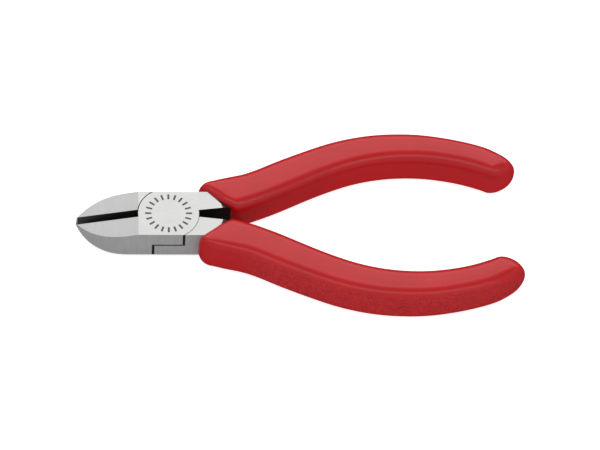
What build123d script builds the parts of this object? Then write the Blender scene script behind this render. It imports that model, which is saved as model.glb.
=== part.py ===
# Diagonal cutting pliers, 110 mm long, modelled with the jaws closed.
# Two forged halves cross in a lap joint on one flush rivet, and each handle wears a dipped plastic grip.
# The origin is on the rivet's axis at the ground underside of the head.
# The jaws point along -X, the handles along +X, and +Z is the rivet's axis.
import os
from math import cos, radians, sin, tan

from build123d import *

os.makedirs("parts", exist_ok=True)

# Head: one ground block, shared by the two halves.
head_width = 13.1
head_thickness = 8.3

# Lap joint: a round boss on each half, one above the other.
joint_radius = 7.47
lap_height = 4.0
joint_clearance = 0.08
lap_clearance = 0.08

# Rivet, countersunk flush on both faces.
rivet_radius = 2.5
rivet_head_radius = 3.2
rivet_head_depth = 1.0
rivet_clearance = 0.03

# Jaws: a sloping facet on top, a curved back, a hollow between them and a cutting line at edge_height.
jaw_reach = 22.7
jaw_shoulder = 9.0
facet_start = 7.4
facet_angle = 12.8
nose_height = 0.75
back_start = 10.0
edge_height = 4.15
hollow_half_width = 1.08
back_relief_angle = 8.0
jaw_clearance = 0.04

# Tangs: the ground block ends on a slant behind the joint, and a gap parts the two.
tang_gap = 2.1
tang_flare_angle = 7.0
slant_angle = 47.0
slant_start = 9.6
shoulder_length = 1.6
shoulder_drop = 0.9

# Handles: the middle line runs out of the collar, bends out, rises straight and bows back in.
handle_reach = 87.3
handle_half_width = 4.9
collar_centre_x = 12.3
collar_centre_y = 5.75
neck_radius = 22.0
rise_angle = 28.0
bow_radius = 55.0
fall_angle = 24.0

# Grips: a rounded skin over the cores.
grip_height = 10.3
grip_wall = 1.6
grip_edge_radius = 3.0
mouth_angle = 42.0
mouth_start = 8.9
core_edge_radius = 1.5

half_width = head_width / 2
hollow_mouth = joint_radius - 1
facet_slope = tan(radians(facet_angle))
nose_top = head_thickness - (jaw_reach - facet_start) * facet_slope
tool_height = 2 * head_thickness
grip_base = (head_thickness - grip_height) / 2


def jaw_plan(side):
    # Plan of one jaw, from the closing line to its curved outside.
    inside = side * jaw_clearance / 2
    with BuildSketch() as plan:
        with BuildLine():
            nose = (-jaw_reach, inside)
            shoulder = (-jaw_shoulder, side * half_width)
            Spline(
                shoulder,
                (-0.626 * jaw_reach, side * 0.932 * half_width),
                (-0.798 * jaw_reach, side * 0.703 * half_width),
                (-0.928 * jaw_reach, side * 0.375 * half_width),
                (-0.987 * jaw_reach, side * 0.160 * half_width),
                nose,
                tangents=[(-1, 0), (0, -side)],
            )
            Polyline(nose, (0, inside), (0, side * half_width), shoulder)
        make_face()
    return plan.sketch


def tang_plan(side):
    # Plan of one tang's ground block, from the gap to the head's side, with its rear cut on a slant.
    gap = tang_gap / 2
    rear = slant_start + shoulder_length
    rear_inner = rear + (half_width - gap) / tan(radians(slant_angle))
    flare = gap + (rear_inner - joint_radius) * tan(radians(tang_flare_angle))
    with BuildSketch() as plan:
        with BuildLine():
            Polyline(
                (0, side * gap),
                (joint_radius, side * gap),
                (rear_inner, side * flare),
                (rear, side * half_width),
                (0, side * half_width),
                close=True,
            )
        make_face()
    return plan.sketch


def boss_plan():
    # The joint's disc, ground off at the head's two sides.
    with BuildSketch() as plan:
        Circle(joint_radius)
        Rectangle(2 * joint_radius, head_width, mode=Mode.INTERSECT)
    return plan.sketch


def mouth_plan(side):
    # Plan of the region in front of a grip's slanted mouth.
    start = Vector(mouth_start, side * half_width)
    along = Vector(1, 0).rotate(Axis.Z, -side * mouth_angle) * handle_reach
    front = start - along + Vector(0, -2 * side * handle_reach)
    with BuildSketch() as plan:
        with BuildLine():
            Polyline(start - along, start + along, front, close=True)
        make_face()
    return plan.sketch


def handle_body(side, inset, edge_radius):
    # A bowed handle of one width with round ends, this far inside the grip's surface.
    rise = radians(rise_angle)
    bow_run = bow_radius * (sin(rise) + sin(radians(fall_angle)))
    rise_run = handle_reach - handle_half_width - bow_run - neck_radius * sin(rise) - collar_centre_x
    with BuildLine() as middle:
        neck = JernArc((collar_centre_x, side * collar_centre_y), (1, 0), neck_radius, side * rise_angle)
        straight = PolarLine(neck @ 1, rise_run / cos(rise), side * rise_angle)
        JernArc(straight @ 1, straight % 1, bow_radius, -side * (rise_angle + fall_angle))
    with BuildPart() as body:
        with BuildSketch(Plane.XY.offset(grip_base + inset)):
            SlotArc(middle.wires()[0], 2 * (handle_half_width - inset))
        extrude(amount=grip_height - 2 * inset)
        fillet(body.faces().filter_by(Plane.XY).edges(), edge_radius)
    return body.part


def rivet_profile(clearance):
    # Half section of the rivet, or of its hole when a clearance is given.
    head = rivet_head_radius + clearance
    shank = rivet_radius + clearance
    with BuildSketch(Plane.XZ) as profile:
        with BuildLine():
            Polyline(
                (0, 0),
                (head, 0),
                (shank, rivet_head_depth),
                (shank, head_thickness - rivet_head_depth),
                (head, head_thickness),
                (0, head_thickness),
                close=True,
            )
        make_face()
    return profile.sketch


def facet_height(x):
    # Height of the jaws' sloping facet at this place along the tool.
    return head_thickness + (x + facet_start) * facet_slope


def shoulder_plane(side, face):
    # Plane that falls away behind the ground face, on the top (face 1) or the underside (face -1).
    slope = shoulder_drop / shoulder_length
    back = Vector(1, 0).rotate(Axis.Z, side * (90 - slant_angle))
    height = head_thickness if face > 0 else 0
    return Plane(origin=(slant_start, side * half_width, height), z_dir=back * slope + Vector(0, 0, face))


# What the closed jaws leave open between them: a hollow above the cutting line, and relief below it.
with BuildPart() as jaw_hollow:
    for x in (-joint_radius + 1, -jaw_reach - 1):
        with BuildSketch(Plane.YZ.offset(x)):
            with BuildLine():
                Polyline(
                    (0, edge_height),
                    (hollow_half_width, facet_height(x)),
                    (hollow_half_width, tool_height),
                    (-hollow_half_width, tool_height),
                    (-hollow_half_width, facet_height(x)),
                    close=True,
                )
            make_face()
    loft(ruled=True)
    relief = edge_height * tan(radians(back_relief_angle))
    with BuildSketch(Plane.YZ.offset(-joint_radius + 1)):
        with BuildLine():
            Polyline((0, edge_height), (relief, 0), (-relief, 0), close=True)
        make_face()
    extrude(amount=-jaw_reach)
    with BuildSketch():
        Circle(joint_radius)
    extrude(amount=tool_height, mode=Mode.SUBTRACT)


def forged_half(side, boss_base, boss_height, recess_base, recess_height):
    # One half: a jaw on this side, the joint's boss, and the tang and core of the handle across from it.
    with BuildPart() as half:
        with BuildSketch():
            add(jaw_plan(side))
            add(tang_plan(-side))
        extrude(amount=head_thickness)
        with BuildSketch(Plane.XY.offset(recess_base)):
            Circle(joint_radius + joint_clearance)
        extrude(amount=recess_height, mode=Mode.SUBTRACT)
        with BuildSketch(Plane.XY.offset(boss_base)):
            add(boss_plan())
        extrude(amount=boss_height)
        facet = Plane(origin=(-facet_start, 0, head_thickness), z_dir=(-facet_slope, 0, 1))
        split(bisect_by=facet, keep=Keep.BOTTOM)
        for face in (1, -1):
            split(bisect_by=shoulder_plane(-side, face), keep=Keep.BOTTOM)
        with BuildSketch(Plane.XZ):
            with BuildLine():
                back_end = (-jaw_reach, nose_top - nose_height)
                Spline(
                    (-back_start, 0),
                    (-0.758 * jaw_reach, 0.15 * edge_height),
                    (-0.925 * jaw_reach, 0.53 * edge_height),
                    back_end,
                    tangents=[(-1, 0), (-0.6, 0.8)],
                )
                Polyline(back_end, (-jaw_reach - 1, nose_top), (-jaw_reach - 1, -1), (-back_start, -1),
                         (-back_start, 0))
            make_face()
        extrude(amount=head_width, both=True, mode=Mode.SUBTRACT)
        add(jaw_hollow.part, mode=Mode.SUBTRACT)
        add(handle_body(-side, grip_wall, core_edge_radius))
    return half.part


# Half with the lower jaw and the upper handle; its boss is the top layer of the joint.
with BuildPart() as lower_jaw_half:
    add(forged_half(-1, lap_height, head_thickness - lap_height, 0, lap_height))
    add(rivet_profile(0))
    revolve(axis=Axis.Z, mode=Mode.SUBTRACT)
lower_jaw_half.part.label = "lower_jaw_half"
export_step(lower_jaw_half.part, "parts/lower_jaw_half.step")

# Half with the upper jaw and the lower handle; its boss is the bottom layer and turns on the rivet.
lap_top = lap_height - lap_clearance
with BuildPart() as upper_jaw_half:
    add(forged_half(1, 0, lap_top, lap_top, head_thickness - lap_top))
    add(rivet_profile(rivet_clearance))
    revolve(axis=Axis.Z, mode=Mode.SUBTRACT)
upper_jaw_half.part.label = "upper_jaw_half"
export_step(upper_jaw_half.part, "parts/upper_jaw_half.step")

# Rivet, tight in the top half and free in the bottom one.
with BuildPart() as joint_rivet:
    add(rivet_profile(0))
    revolve(axis=Axis.Z)
joint_rivet.part.label = "joint_rivet"
export_step(joint_rivet.part, "parts/joint_rivet.step")


def dipped_grip(side):
    # Outside of one grip, with a slanted mouth, before the steel is taken out of it.
    with BuildPart() as grip:
        add(handle_body(side, 0, grip_edge_radius))
        with BuildSketch(Plane.XY.offset(-tool_height)):
            add(mouth_plan(side))
        extrude(amount=2 * tool_height, mode=Mode.SUBTRACT)
    return grip.part


# Grip on the upper handle.
with BuildPart() as upper_grip:
    add(dipped_grip(1))
    add(lower_jaw_half.part, mode=Mode.SUBTRACT)
upper_grip.part.label = "upper_grip"
export_step(upper_grip.part, "parts/upper_grip.step")

# Grip on the lower handle.
with BuildPart() as lower_grip:
    add(dipped_grip(-1))
    add(upper_jaw_half.part, mode=Mode.SUBTRACT)
lower_grip.part.label = "lower_grip"
export_step(lower_grip.part, "parts/lower_grip.step")
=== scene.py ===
from math import cos, pi, radians, sin

import bmesh
import bpy
from mathutils import Matrix, Vector


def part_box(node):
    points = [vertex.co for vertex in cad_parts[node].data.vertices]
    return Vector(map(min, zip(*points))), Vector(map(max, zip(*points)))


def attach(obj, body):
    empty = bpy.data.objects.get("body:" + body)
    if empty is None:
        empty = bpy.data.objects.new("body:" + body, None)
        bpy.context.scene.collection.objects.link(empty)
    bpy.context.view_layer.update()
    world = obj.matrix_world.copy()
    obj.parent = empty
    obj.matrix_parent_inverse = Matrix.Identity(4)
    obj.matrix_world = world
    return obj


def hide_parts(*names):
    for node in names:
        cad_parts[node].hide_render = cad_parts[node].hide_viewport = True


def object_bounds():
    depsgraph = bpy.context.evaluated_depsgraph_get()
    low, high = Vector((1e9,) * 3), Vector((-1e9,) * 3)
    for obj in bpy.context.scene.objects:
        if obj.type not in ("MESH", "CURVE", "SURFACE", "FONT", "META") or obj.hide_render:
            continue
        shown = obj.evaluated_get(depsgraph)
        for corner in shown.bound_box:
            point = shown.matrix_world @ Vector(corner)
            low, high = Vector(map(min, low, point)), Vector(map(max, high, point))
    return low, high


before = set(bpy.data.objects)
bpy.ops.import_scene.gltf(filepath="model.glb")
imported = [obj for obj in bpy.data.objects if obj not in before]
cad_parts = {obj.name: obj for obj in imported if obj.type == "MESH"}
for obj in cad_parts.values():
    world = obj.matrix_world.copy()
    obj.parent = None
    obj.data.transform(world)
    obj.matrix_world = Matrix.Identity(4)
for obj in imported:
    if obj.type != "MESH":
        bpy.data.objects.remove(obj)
cadLow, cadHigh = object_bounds()
mm = 0.001
headLow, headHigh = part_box("joint_rivet")  # the rivet is ground flush with both faces of the head
headMiddle = (headLow.z + headHigh.z) / 2
print("frame loaded, head", round((headHigh.z - headLow.z) / mm, 2), "mm thick")


class Link:
    # A node socket that can be used in sums.
    def __init__(self, tree, socket):
        self.tree = tree
        self.socket = socket

    def node(self, kind, settings=None, values=None, output=0):
        made = self.tree.nodes.new(kind)
        for name, value in (settings or {}).items():
            setattr(made, name, value)
        for name, value in (values or {}).items():
            if isinstance(value, Link):
                self.tree.links.new(value.socket, made.inputs[name])
            else:
                made.inputs[name].default_value = value
        return Link(self.tree, made.outputs[output])

    def maths(self, operation, *others):
        return self.node("ShaderNodeMath", {"operation": operation}, dict(enumerate((self,) + others)))

    def __add__(self, other):
        return self.maths("ADD", other)

    def __sub__(self, other):
        return self.maths("SUBTRACT", other)

    def __mul__(self, other):
        return self.maths("MULTIPLY", other)

    def __rsub__(self, other):
        return (self * -1) + other

    def __abs__(self):
        return self.maths("ABSOLUTE")

    __radd__ = __add__
    __rmul__ = __mul__

    def rise(self, low, high):
        # 0 below low and 1 above high, with a soft step between them
        ends = {"Value": self, "From Min": low, "From Max": high}
        return self.node("ShaderNodeMapRange", {"interpolation_type": "SMOOTHSTEP"}, ends)

    def fall(self, low, high):
        return 1 - self.rise(low, high)

    def larger(self, other):
        return self.maths("MAXIMUM", other)

    def choose(self, first, second):
        # the first number where this is 0, the second where it is 1
        return self.node("ShaderNodeMix", {"data_type": "FLOAT"}, {0: self, 2: first, 3: second})

    def blend(self, first, second):
        # the first colour where this is 0, the second where it is 1
        return self.node("ShaderNodeMix", {"data_type": "RGBA"}, {0: self, 6: first, 7: second}, 2)


def startMaterial(name):
    # A material with its Principled shader, and the place on the surface to work with.
    material = bpy.data.materials.new(name)
    material.use_nodes = True
    shader = material.node_tree.nodes["Principled BSDF"]
    place = Link(material.node_tree, shader.outputs[0]).node("ShaderNodeTexCoord", output="Object")
    return material, shader, place


def placeParts(place):
    # The place as three numbers in millimetres, and how squarely the surface faces up or down.
    split = place.node("ShaderNodeSeparateXYZ", values={0: place}).socket.node
    x, y, z = (Link(place.tree, socket) * (1 / mm) for socket in split.outputs)
    facing = place.node("ShaderNodeNewGeometry", output="Normal")
    return x, y, z, abs(facing.node("ShaderNodeSeparateXYZ", values={0: facing}, output=2))


def grain(place, scale, stretch=(1.0, 1.0, 1.0), detail=4.0):
    # Noise, drawn out into streaks along an axis where the stretch is small.
    stretched = place.node("ShaderNodeMapping", values={"Vector": place, "Scale": stretch})
    values = {"Vector": stretched, "Scale": scale, "Detail": detail, "Roughness": 0.65}
    return stretched.node("ShaderNodeTexNoise", values=values)


def feed(material, shader, links):
    for socket, value in links.items():
        material.node_tree.links.new(value.socket, shader.inputs[socket])


steel = {
    "faceColour": (0.51, 0.51, 0.505, 1),
    "facetColour": (0.395, 0.395, 0.392, 1),
    "sideColour": (0.49, 0.49, 0.49, 1),
    "oxideColour": (0.006, 0.006, 0.007, 1),
    "seamColour": (0.01, 0.01, 0.01, 1),
    "sideMetal": 0.42,
    "faceRoughness": 0.34,
    "streakRoughness": 0.16,
    "oxideRoughness": 0.38,
    "faceGrain": 5200.0,
    "sideGrain": 4200.0,
    "cloudGrain": 160.0,
    "drawnOut": 0.05,  # the stretch of the grain along a streak
    "darkest": 0.72,
    "streakLight": 0.42,
    "cloudLight": 0.12,
    "bumpStrength": 0.25,
    "bumpDepth": 0.00002,
    # how squarely a surface looks up or down: where sides become flat faces, and where the hollow ends
    "flat": (0.55, 0.75),
    "hollowTilt": (0.93, 0.96),
    # where each finish starts and stops, as soft edges in millimetres
    "facet": (-7.52, -7.28),
    "rearEdge": (7.55, 7.67),
    "rearStart": (7.6, 7.7),
    "innerWidth": (6.3, 6.45),
    "innerStart": (-8.4, -8.0),
    "hollowWidth": (1.11, 1.16),
    "hollowRear": (-6.6, -6.4),
    "hollowTip": (-22.5, -22.2),
    "discSeam": (7.68, 7.73),
    "bottomLayer": (3.72, 3.77),
    "topLayer": (4.15, 4.20),
    "tightSide": (-1.0, 1.0),
    "tightSeam": 0.65,  # how much fainter the seam is on the tight side
    "rearCentre": 5.9,  # where the rear edge's arc has its centre
    # how far along the head's side the step in the seam is, the head's half width, and how soft the step is
    "sideSeam": 3.42,
    "halfWidth": 6.55,
    "cornerSoft": 0.2,
}


def oxideMask(x, y, tilt, flat):
    # Black oxide behind the rounded rear edge, on the inner sides and in the slit between the jaws.
    width = abs(y)
    behind = x - steel["rearCentre"]
    around = (behind * behind + y * y).maths("SQRT")
    rear = around.rise(*steel["rearEdge"]) * x.rise(*steel["rearStart"])
    inner = (1 - flat) * width.fall(*steel["innerWidth"]) * x.rise(*steel["innerStart"])
    hollow = width.fall(*steel["hollowWidth"]) * x.fall(*steel["hollowRear"])
    hollow = hollow * tilt.fall(*steel["hollowTilt"]) * x.rise(*steel["hollowTip"])
    return rear.larger(inner).larger(hollow)


def seamMask(x, y, z, flat, layer):
    # Dark seams round the joint's disc, and the step they make on the side of the head.
    if layer == "pin":
        return 1 - flat  # the rivet is dark only round its pin
    ring = (x * x + y * y).maths("SQRT").fall(*steel["discSeam"])
    corner = steel["sideSeam"] * steel["halfWidth"]
    if layer == "bottom":
        ring = ring * (1 - y.fall(*steel["tightSide"]) * flat * steel["tightSeam"])
        step = (x * y).rise(corner, corner + steel["cornerSoft"])
        return ring * z.rise(*steel["bottomLayer"]).larger(step * (1 - flat))
    step = (x * y).fall(-corner - steel["cornerSoft"], -corner)
    return ring * z.fall(*steel["topLayer"]).larger(step * (1 - flat))


def brushedSteel(name, layer):
    # Ground and brushed faces with black oxide and dark seams. The layer says which part of the joint it is.
    material, shader, place = startMaterial(name)
    x, y, z, tilt = placeParts(place)
    drawn = steel["drawnOut"]
    alongX = grain(place, steel["faceGrain"], (drawn, 1.0, 1.0))
    alongY = grain(place, steel["faceGrain"], (1.0, drawn, 1.0))
    alongZ = grain(place, steel["sideGrain"], (1.0, 1.0, drawn))
    cloud = grain(place, steel["cloudGrain"])
    flat = tilt.rise(*steel["flat"])
    onFacet = x.fall(*steel["facet"])
    streak = flat.choose(alongZ, onFacet.choose(alongX, alongY))
    ground = flat.blend(steel["sideColour"], onFacet.blend(steel["faceColour"], steel["facetColour"]))
    lightness = steel["darkest"] + streak * steel["streakLight"] + cloud * steel["cloudLight"]
    grey = lightness.node("ShaderNodeCombineColor", values={0: lightness, 1: lightness, 2: lightness})
    ground = ground.node("ShaderNodeMix", {"data_type": "RGBA", "blend_type": "MULTIPLY"},
                         {0: 1.0, 6: ground, 7: grey}, 2)
    oxide = oxideMask(x, y, tilt, flat)
    seam = seamMask(x, y, z, flat, layer)
    rough = steel["faceRoughness"] + (streak - 0.5) * steel["streakRoughness"]
    metal = steel["sideMetal"] + flat * (1 - steel["sideMetal"])
    bump = streak.node("ShaderNodeBump", values={
        "Strength": steel["bumpStrength"], "Distance": steel["bumpDepth"], "Height": streak})
    feed(material, shader, {
        "Base Color": seam.blend(oxide.blend(ground, steel["oxideColour"]), steel["seamColour"]),
        "Roughness": oxide * steel["oxideRoughness"] + (1 - oxide) * rough,
        "Metallic": metal * (1 - oxide.larger(seam)),
        "Normal": bump,
    })
    return material


def paint(node, material):
    # Gives a CAD node its finish.
    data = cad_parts[node].data
    data.materials.clear()
    data.materials.append(material)


paint("lower_jaw_half", brushedSteel("lowerHalfSteel", "top"))
paint("upper_jaw_half", brushedSteel("upperHalfSteel", "bottom"))
paint("joint_rivet", brushedSteel("rivetSteel", "pin"))
print("steel painted")


grip = {
    # along the handle: how far from the rivet, then the outer and inner edges of the grip, in millimetres
    "stations": [
        (17.6, 12.5, 1.4), (21.6, 14.05, 2.8), (27.6, 17.05, 5.5), (35.0, 20.4, 9.3),
        (40.5, 22.6, 11.9), (46.0, 24.2, 14.05), (51.5, 25.2, 15.5), (57.0, 25.6, 16.25),
        (62.6, 25.5, 16.35), (68.0, 24.8, 15.8), (73.6, 23.6, 14.6), (78.4, 22.15, 12.95),
    ],
    # the round end: outer edge and its flat top's edge, then inner edge and its flat top's edge
    "end": [
        ((82.1, 20.7), (80.3, 17.75), (81.0, 11.95), (80.6, 14.85)),
        ((84.9, 19.1), (82.1, 17.15), (83.6, 12.0), (81.9, 15.05)),
        ((86.5, 17.45), (82.9, 16.6), (86.0, 13.35), (82.8, 15.45)),
    ],
    "tip": ((87.28, 15.6), (83.2, 16.0)),
    # the mouth, from the outer edge round the front to the inner corner: the widest line, the flat top's
    # edge, and how much of the mouth's move along slantWay the point takes
    "mouth": [
        ((11.0, 10.95), (12.2, 8.45), 0.0), ((9.2, 10.35), (11.0, 8.5), 0.0),
        ((7.9, 9.2), (10.2, 8.45), 0.0), ((7.45, 7.9), (9.9, 8.3), 0.3),
        ((8.05, 6.8), (10.1, 7.9), 0.7), ((9.2, 5.9), (10.9, 7.35), 1.0),
        ((10.9, 4.5), (12.8, 6.25), 1.0), ((12.75, 3.2), (14.1, 5.15), 1.0),
        ((14.75, 2.15), (15.2, 4.45), 1.0), ((16.1, 1.4), (16.0, 4.1), 0.7),
    ],
    "slantWay": (-0.643, -0.766),  # the way that the slanted front faces
    "upperForward": -0.2,  # how far each mouth is moved along slantWay, in millimetres
    "lowerForward": 0.7,
    "edge": 3.0,
    "edgeSteps": 9,
    "wallLevels": (-2 / 3, -1 / 3, 0.0, 1 / 3, 2 / 3),
    "spanSteps": 5,
    "crown": 0.03,  # how much the flat top and underside bulge, in millimetres
    # how much of the upright wall is lost to a rounder edge, at the front and the end, and over which stretch
    "frontFullness": 0.6,
    "frontStretch": (9.0, 15.0),
    "endFullness": 0.85,
    "endStretch": (80.0, 86.0),
    "pebbleStart": (0.4, 2.6),  # in stations from the mouth
    "pebbleEdge": (0.55, 0.85),  # in radians round the edge
}


def curvePoints(points, steps):
    # A smooth line through the points, with this many steps between neighbours.
    ends = [2 * points[0] - points[1]] + points + [2 * points[-1] - points[-2]]
    line = []
    for a, b, c, d in zip(ends, ends[1:], ends[2:], ends[3:]):
        for i in range(steps):
            t = i / steps
            line.append(b + ((c - a) * t + (2 * a - 5 * b + 4 * c - d) * t * t
                             + (3 * b - a - 3 * c + d) * t * t * t) / 2)
    return line + [points[-1]]


def insetPoints(points, distance):
    # The same points, each moved in from the edge, to the right of the way the line runs.
    line = []
    for i, point in enumerate(points):
        way = points[min(i + 1, len(points) - 1)] - points[max(i - 1, 0)]
        line.append(point + Vector((way.y, -way.x)).normalized() * distance)
    return line


def joinedCurve(points, before, after, steps):
    # The smooth line through the points, with a point before and after it to set the way it starts and ends.
    return curvePoints([before] + points + [after], steps)[steps:-steps]


def softStep(value, low, high):
    t = max(0.0, min(1.0, (value - low) / (high - low)))
    return t * t * (3 - 2 * t)


def gripLines(forward):
    # The widest line and the flat top's edge, round the grip from the mouth to the mouth, then for the mouth.
    outer = [Vector((x, y)) for x, y, _ in grip["stations"]]
    inner = [Vector((x, y)) for x, _, y in grip["stations"]]
    tip, tipFlat = (Vector(p) for p in grip["tip"])
    firstEnd = len(outer) + 1
    outer += [Vector(row[0]) for row in grip["end"]]
    inner += [Vector(row[2]) for row in grip["end"]]
    move = Vector(grip["slantWay"]) * forward
    mouthWide = [Vector(a) + move * share for a, _, share in grip["mouth"]]
    mouthFlat = [Vector(b) + move * share for _, b, share in grip["mouth"]]
    around = mouthWide[:1] + outer + [tip] + inner[::-1] + mouthWide[-1:]
    flatEdge = insetPoints(around, grip["edge"])
    flatEdge[0], flatEdge[-1] = mouthFlat[0], mouthFlat[-1]
    for i, row in enumerate(grip["end"], firstEnd):
        flatEdge[i], flatEdge[-1 - i] = Vector(row[1]), Vector(row[3])
    flatEdge[len(outer) + 1] = tipFlat
    steps = grip["spanSteps"]
    wide = joinedCurve(around, mouthWide[1], mouthWide[-2], steps)
    flat = joinedCurve(flatEdge, mouthFlat[1], mouthFlat[-2], steps)
    mouthWide = joinedCurve(mouthWide, outer[0], inner[0], steps)
    mouthFlat = joinedCurve(mouthFlat, flatEdge[1], flatEdge[-2], steps)
    return wide, flat, mouthWide, mouthFlat


def gripRing(loop, side, wall, angle):
    # One ring round the grip: how much of the upright wall it is up, and its angle round the edge.
    half = (cadHigh.z - cadLow.z) / mm / 2
    points = []
    for a, b in loop:
        p = a + (b - a) * (1 - cos(angle))
        full = grip["endFullness"] * softStep(a.x, *grip["endStretch"])
        full += grip["frontFullness"] * (1 - softStep(a.x, *grip["frontStretch"]))
        straight = (half - grip["edge"]) * (1 - full)
        height = wall * straight + (half - straight) * sin(angle)
        points.append((p.x * mm, side * p.y * mm, headMiddle + height * mm))
    return points


def gripCap(verts, base, lift, rows, lineLength, count, columns):
    # The flat top or underside, in rows across the grip from the mouth to the tip. It adds its own points.
    grid = []
    for row in range(rows):
        left, right = base + row, base + lineLength - 1 - row
        if row == 0:
            line = [left] + [base + count - i for i in range(1, columns)] + [right]
        else:
            a, b = Vector(verts[left]), Vector(verts[right])
            line = [left]
            for i in range(1, columns):
                t = i / columns
                p = a + (b - a) * t
                p.z += lift * grip["crown"] * mm * sin(pi * t) ** 2
                verts.append(tuple(p))
                line.append(len(verts) - 1)
            line.append(right)
        grid.append(line)
    faces = []
    for first, second in zip(grid, grid[1:]):
        for i in range(columns):
            faces.append((first[i], second[i], second[i + 1], first[i + 1]))
    for i in range(columns):
        faces.append((grid[-1][i], base + rows, grid[-1][i + 1]))
    return faces


def tidyNormals(mesh):
    shape = bmesh.new()
    shape.from_mesh(mesh)
    bmesh.ops.recalc_face_normals(shape, faces=shape.faces[:])
    for face in shape.faces:
        face.smooth = True
    shape.to_mesh(mesh)
    shape.free()


def gripMesh(name, side, forward):
    # A dipped grip: a rounded edge all round, an upright wall, and a flat top and underside.
    wide, flat, mouthWide, mouthFlat = gripLines(forward)
    loop = list(zip(wide + mouthWide[::-1][1:-1], flat + mouthFlat[::-1][1:-1]))
    bend = [pi / 2 * i / grip["edgeSteps"] for i in range(grip["edgeSteps"] + 1)]
    profile = [(-1, -a) for a in reversed(bend)] + [(level, 0.0) for level in grip["wallLevels"]]
    profile += [(1, a) for a in bend]
    verts = []
    for wall, angle in profile:
        verts += gripRing(loop, side, wall, angle)
    count = len(loop)
    top = (len(profile) - 1) * count
    faces = []
    for base in range(0, top, count):
        for i in range(count):
            j = (i + 1) % count
            faces.append((base + i, base + j, base + count + j, base + count + i))
    rows = (len(wide) - 1) // 2
    for base, lift in ((0, -1), (top, 1)):
        faces += gripCap(verts, base, lift, rows, len(wide), count, len(mouthWide) - 1)
    mesh = bpy.data.meshes.new(name)
    mesh.from_pydata(verts, [], faces)
    made = bpy.data.objects.new(name, mesh)
    bpy.context.scene.collection.objects.link(made)
    tidyNormals(mesh)
    markPebble(mesh, profile, count, rows)
    return made


def markPebble(mesh, profile, count, rows):
    # 1 on the outer side, where the plastic is pebbled, fading out at the mouth and round the edges.
    pebble = mesh.attributes.new("pebble", "FLOAT", "POINT")
    low, high = (stations * grip["spanSteps"] for stations in grip["pebbleStart"])
    for ring, (_, angle) in enumerate(profile):
        level = 1.0 - softStep(abs(angle), *grip["pebbleEdge"])
        for spot in range(rows):
            pebble.data[ring * count + spot].value = softStep(spot, low, high) * level


plastic = {
    "colour": (0.46, 0.003, 0.006, 1),
    "deepColour": (0.42, 0.003, 0.006, 1),
    # on the pebble: a lighter painted highlight on the bumps' peaks, then a darker painted shade in their
    # pits
    "peakHighlightColour": (0.53, 0.010, 0.016, 1),
    "pitShadeColour": (0.32, 0.003, 0.005, 1),
    "roughness": 0.26,
    "cloudRoughness": 0.08,
    "pebbleRoughness": 0.36,
    "pebbleScale": 1700.0,
    "pebbleDepth": 0.0002,
    "pebbleStrength": 0.8,
    "pebbleDetail": 2.0,
    "cloudScale": 90.0,
    "waveScale": 260.0,
    "waveHeight": 0.05,
    "cloudRange": (0.35, 0.7),
    # where the pebble noise gets the painted highlight, then where it gets the painted shade
    "peakHighlightRange": (0.52, 0.68),
    "pitShadeRange": (0.32, 0.48),
    "shine": 0.42,
}


def dippedPlastic(name):
    # Red plastic, smooth on top and pebbled where the mesh says so, with a painted highlight on the pebble's
    # peaks and painted shade in its pits.
    material, shader, place = startMaterial(name)
    pebble = place.node("ShaderNodeAttribute", {"attribute_name": "pebble"}, output="Fac")
    cloud = grain(place, plastic["cloudScale"])
    fine = grain(place, plastic["pebbleScale"], detail=plastic["pebbleDetail"])
    wave = grain(place, plastic["waveScale"], detail=plastic["pebbleDetail"])
    colour = cloud.rise(*plastic["cloudRange"]).blend(plastic["colour"], plastic["deepColour"])
    # painted highlight where the pebble's bump is high and painted shade where it is low, from the same noise
    # as the bump
    colour = (pebble * fine.rise(*plastic["peakHighlightRange"])).blend(colour, plastic["peakHighlightColour"])
    colour = (pebble * fine.fall(*plastic["pitShadeRange"])).blend(colour, plastic["pitShadeColour"])
    rough = plastic["roughness"] + cloud * plastic["cloudRoughness"]
    rough = rough + pebble * (plastic["pebbleRoughness"] - plastic["roughness"])
    height = pebble * fine + wave * plastic["waveHeight"]
    bump = height.node("ShaderNodeBump", values={
        "Strength": plastic["pebbleStrength"], "Distance": plastic["pebbleDepth"], "Height": height})
    feed(material, shader, {"Base Color": colour, "Roughness": rough, "Normal": bump})
    shader.inputs["Specular IOR Level"].default_value = plastic["shine"]
    return material


red = dippedPlastic("dippedPlastic")
for name, node, body, side, forward in (
        ("upper_grip_sleeve", "upper_grip", "lower_jaw_side", 1, grip["upperForward"]),
        ("lower_grip_sleeve", "lower_grip", "upper_jaw_side", -1, grip["lowerForward"])):
    sleeve = gripMesh(name, side, forward)
    sleeve.data.materials.append(red)
    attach(sleeve, body)
    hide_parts(node)
print("grips made")


marks = {
    "count": 20,
    "radius": 5.0,
    "length": 1.5,
    "width": 0.5,
    "depth": 0.02,
    "middleHeight": 0.3,  # of its depth, how high a bar's middle is above the head
    "darkColour": (0.035, 0.035, 0.038, 1),
    "paleColour": (0.10, 0.10, 0.105, 1),
    "cloudScale": 3000.0,
    "cloudRange": (0.3, 0.7),
    "roughness": 0.5,
    "cloudRoughness": 0.2,
}


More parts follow.
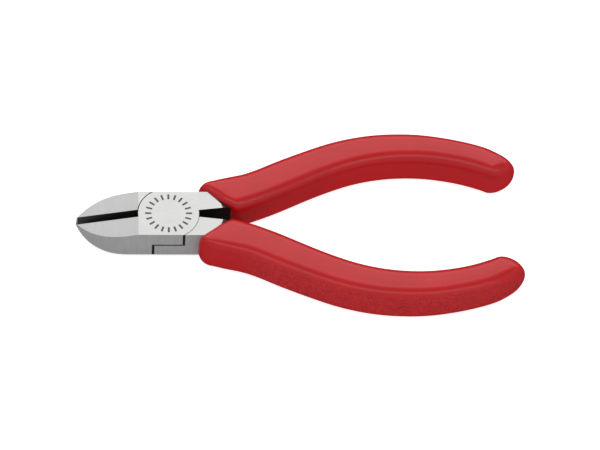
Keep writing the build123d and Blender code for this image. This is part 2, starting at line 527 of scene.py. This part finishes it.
def markTree(material):
    # Equal short bars round a circle.
    tree = bpy.data.node_groups.new("jointMarks", "GeometryNodeTree")
    tree.interface.new_socket("Geometry", in_out="OUTPUT", socket_type="NodeSocketGeometry")
    inputs = {"Count": "NodeSocketInt", "Radius": "NodeSocketFloat", "Bar": "NodeSocketVector",
              "Centre": "NodeSocketVector"}
    for name, kind in inputs.items():
        tree.interface.new_socket(name, in_out="INPUT", socket_type=kind)
    entry = tree.nodes.new("NodeGroupInput")
    given = {name: Link(tree, entry.outputs[name]) for name in inputs}
    start = given["Count"]
    circle = start.node("GeometryNodeMeshCircle", values={"Vertices": start, "Radius": given["Radius"]})
    bar = start.node("GeometryNodeMeshCube", values={"Size": given["Bar"]})
    number = start.node("GeometryNodeInputIndex")
    turn = (number * (2 * pi)).maths("DIVIDE", start)
    turn = turn.node("ShaderNodeCombineXYZ", values={2: turn})
    placed = {"Points": circle, "Instance": bar, "Rotation": turn}
    bars = bar.node("GeometryNodeInstanceOnPoints", values=placed)
    bars = bars.node("GeometryNodeTransform", values={"Geometry": bars, "Translation": given["Centre"]})
    bars = bars.node("GeometryNodeRealizeInstances", values={"Geometry": bars})
    bars = bars.node("GeometryNodeSetMaterial", values={"Geometry": bars, "Material": material})
    leave = tree.nodes.new("NodeGroupOutput")
    tree.links.new(bars.socket, leave.inputs[0])
    return tree


def etchedMaterial():
    # Dark etching with a little cloud in it.
    material, shader, place = startMaterial("etchedMark")
    cloud = grain(place, marks["cloudScale"])
    shade = cloud.rise(*marks["cloudRange"]).blend(marks["darkColour"], marks["paleColour"])
    rough = marks["roughness"] + cloud * marks["cloudRoughness"]
    feed(material, shader, {"Base Color": shade, "Roughness": rough})
    return material


def makeMarks():
    start = bpy.data.objects.new("marksStart", bpy.data.meshes.new("marksStart"))
    bpy.context.scene.collection.objects.link(start)
    modifier = start.modifiers.new("marks", "NODES")
    modifier.node_group = markTree(etchedMaterial())
    wanted = {
        "Count": marks["count"],
        "Radius": marks["radius"] * mm,
        "Bar": (marks["length"] * mm, marks["width"] * mm, marks["depth"] * mm),
        "Centre": (0, 0, headHigh.z + marks["depth"] * mm * marks["middleHeight"]),
    }
    for item in modifier.node_group.interface.items_tree:
        if item.in_out == "INPUT":
            modifier[item.identifier] = wanted[item.name]
    bpy.context.view_layer.update()
    mesh = bpy.data.meshes.new_from_object(start.evaluated_get(bpy.context.evaluated_depsgraph_get()))
    bpy.data.objects.remove(start)
    made = bpy.data.objects.new("joint_face_marks", mesh)
    bpy.context.scene.collection.objects.link(made)
    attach(made, "lower_jaw_side")


makeMarks()
print("joint marks made")


studio = {
    "target": (0.03218, -0.00343),
    "azimuth": -7.197,
    "elevation": 53.928,
    "roll": 6.023,
    "distance": 0.7,
    "lens": 171.12,
    "sensor": 36.0,
    "clip": (0.01, 20.0),
    "floorSize": 6.0,
    "floorColour": (0.55, 0.55, 0.55, 1),
    "floorRoughness": 0.9,
    "floorGlow": 0.80,
    "underWorld": 0.03,
    "dimWorld": 0.14,
    "sideWorld": 0.50,
    "brightWorld": 1.8,
    # how far up or back a way points, where each part of the world starts and is full
    "horizon": (-0.05, 0.25),
    "brightBack": (0.28, 0.52),
    "brightUp": (0.10, 0.45),
    "sideUp": (0.0, 0.25),
    "sideTop": (0.62, 0.80),
    "sideBack": (0.10, 0.35),
    # azimuth, elevation, distance, size, power, and whether the light is mirrored in the tool
    "lights": {
        "overheadFill": (180, 80, 2.0, (3.6, 3.6), 28, False),
        "ridgeStrip": (-7, 64, 1.0, (1.6, 0.22), 2.6, True),
    },
}


def wayTo(azimuth, elevation):
    # The way from the tool to something at these angles, in radians. Azimuth 0 is in front, on the -Y side.
    return Vector((sin(azimuth) * cos(elevation), -cos(azimuth) * cos(elevation), sin(elevation)))


def makeCamera():
    azimuth, elevation, roll = (radians(studio[k]) for k in ("azimuth", "elevation", "roll"))
    back = wayTo(azimuth, elevation)
    right = Vector((cos(azimuth), sin(azimuth), 0))
    up = back.cross(right)
    across, upward = right * cos(roll) + up * sin(roll), up * cos(roll) - right * sin(roll)
    camera = bpy.data.objects.new("camera", bpy.data.cameras.new("camera"))
    camera.data.lens = studio["lens"]
    camera.data.sensor_width = studio["sensor"]
    camera.data.clip_start, camera.data.clip_end = studio["clip"]
    target = Vector((*studio["target"], headHigh.z))
    turned = Matrix((across, upward, back)).transposed().to_4x4()
    camera.matrix_world = Matrix.Translation(target + back * studio["distance"]) @ turned
    bpy.context.scene.collection.objects.link(camera)
    bpy.context.scene.camera = camera


def makeFloor():
    size = studio["floorSize"] / 2
    low = cadLow.z
    corners = [(-size, -size, low), (size, -size, low), (size, size, low), (-size, size, low)]
    mesh = bpy.data.meshes.new("floor")
    mesh.from_pydata(corners, [], [(0, 1, 2, 3)])
    floor = bpy.data.objects.new("floor", mesh)
    material = bpy.data.materials.new("paleFloor")
    material.use_nodes = True
    shader = material.node_tree.nodes["Principled BSDF"]
    shader.inputs["Base Color"].default_value = studio["floorColour"]
    shader.inputs["Roughness"].default_value = studio["floorRoughness"]
    shader.inputs["Emission Color"].default_value = (1, 1, 1, 1)
    shader.inputs["Emission Strength"].default_value = studio["floorGlow"]
    mesh.materials.append(material)
    bpy.context.scene.collection.objects.link(floor)
    floor.visible_glossy = False


def makeWorld():
    # Bright behind, softer low down in front and at the sides, dim overhead and dark under the floor.
    world = bpy.data.worlds.new("studio")
    bpy.context.scene.world = world
    world.use_nodes = True
    tree = world.node_tree
    background = tree.nodes["Background"]
    way = Link(tree, background.outputs[0]).node("ShaderNodeTexCoord", output="Generated")
    height = way.node("ShaderNodeSeparateXYZ", values={0: way}, output=2)
    behind = way.node("ShaderNodeSeparateXYZ", values={0: way}, output=1)
    bright = behind.rise(*studio["brightBack"]) * height.rise(*studio["brightUp"])
    side = height.rise(*studio["sideUp"]) * height.fall(*studio["sideTop"]) * behind.fall(*studio["sideBack"])
    dim = studio["underWorld"] + height.rise(*studio["horizon"]) * (studio["dimWorld"] - studio["underWorld"])
    shade = dim + bright * (studio["brightWorld"] - studio["dimWorld"]) + side * studio["sideWorld"]
    tree.links.new(shade.socket, background.inputs["Color"])


def makeLight(name, azimuth, elevation, distance, size, power, mirrored):
    data = bpy.data.lights.new(name, "AREA")
    data.shape = "RECTANGLE"
    data.size, data.size_y = size
    data.energy = power
    light = bpy.data.objects.new(name, data)
    back = wayTo(radians(azimuth), radians(elevation))
    spot = (cadLow + cadHigh) / 2 + back * distance
    light.matrix_world = Matrix.Translation(spot) @ back.to_track_quat("Z", "Y").to_matrix().to_4x4()
    light.visible_glossy = mirrored
    bpy.context.scene.collection.objects.link(light)


makeCamera()
makeFloor()
makeWorld()
for name, settings in studio["lights"].items():
    makeLight(name, *settings)
bpy.context.scene.view_settings.view_transform = "Standard"
print("studio ready")
